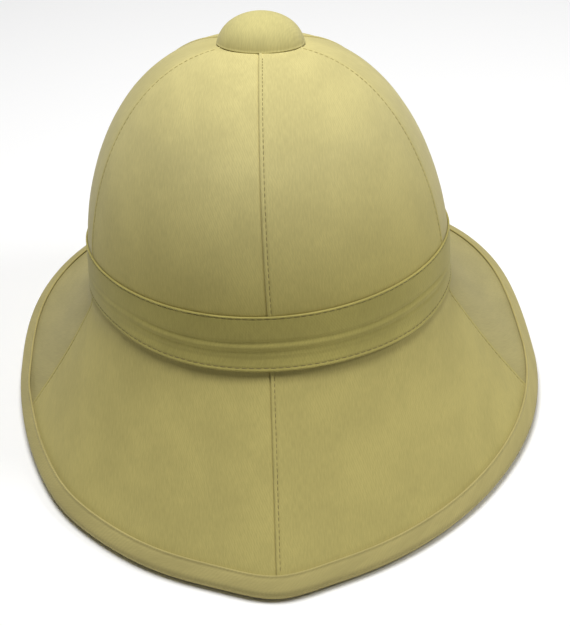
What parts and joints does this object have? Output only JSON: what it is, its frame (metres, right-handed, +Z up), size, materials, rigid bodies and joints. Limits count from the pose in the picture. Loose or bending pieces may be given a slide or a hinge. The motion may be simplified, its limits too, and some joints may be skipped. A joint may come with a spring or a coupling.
{
  "type": "pith helmet",
  "caption": "Wide-brimmed sun helmet: domed shell with long sloping peak, cloth panels, folded band, bound hem and top ventilator button.",
  "frame": {"origin": "on the ground, midway between the two peaks, in the plane of symmetry", "axes": "+Z up; -Y towards the long rear peak, which is the end that the picture shows nearest; +Y towards the short front peak; +X to the wearer's right"},
  "size_m": [0.2862, 0.3726, 0.2057],
  "materials": {
    "crown_drill": "matt khaki cotton drill, stretched taut",
    "brim_drill": "matt khaki cotton drill, stretched taut",
    "band_drill": "matt khaki cotton drill, folded double",
    "binding_tape": "matt khaki cotton bias strip",
    "button_drill": "matt khaki cotton drill over a metal cap",
    "shell_lining": "matt sage cotton glued to the moulded pith"
  },
  "bodies": {
    "root": {"crown_shell_right": "shell_lining", "crown_shell_left": "shell_lining", "wall_shell": "shell_lining", "brim_shell": "shell_lining", "crown_panel_rear_right": "crown_drill", "crown_panel_side_right": "crown_drill", "crown_panel_front_right": "crown_drill", "crown_panel_rear_left": "crown_drill", "crown_panel_side_left": "crown_drill", "crown_panel_front_left": "crown_drill", "brim_panel_rear_right": "brim_drill", "brim_panel_front_right": "brim_drill", "brim_panel_rear_left": "brim_drill", "brim_panel_front_left": "brim_drill", "hat_band": "band_drill", "brim_binding": "binding_tape", "vent_button": "button_drill"}
  },
  "joints": []
}
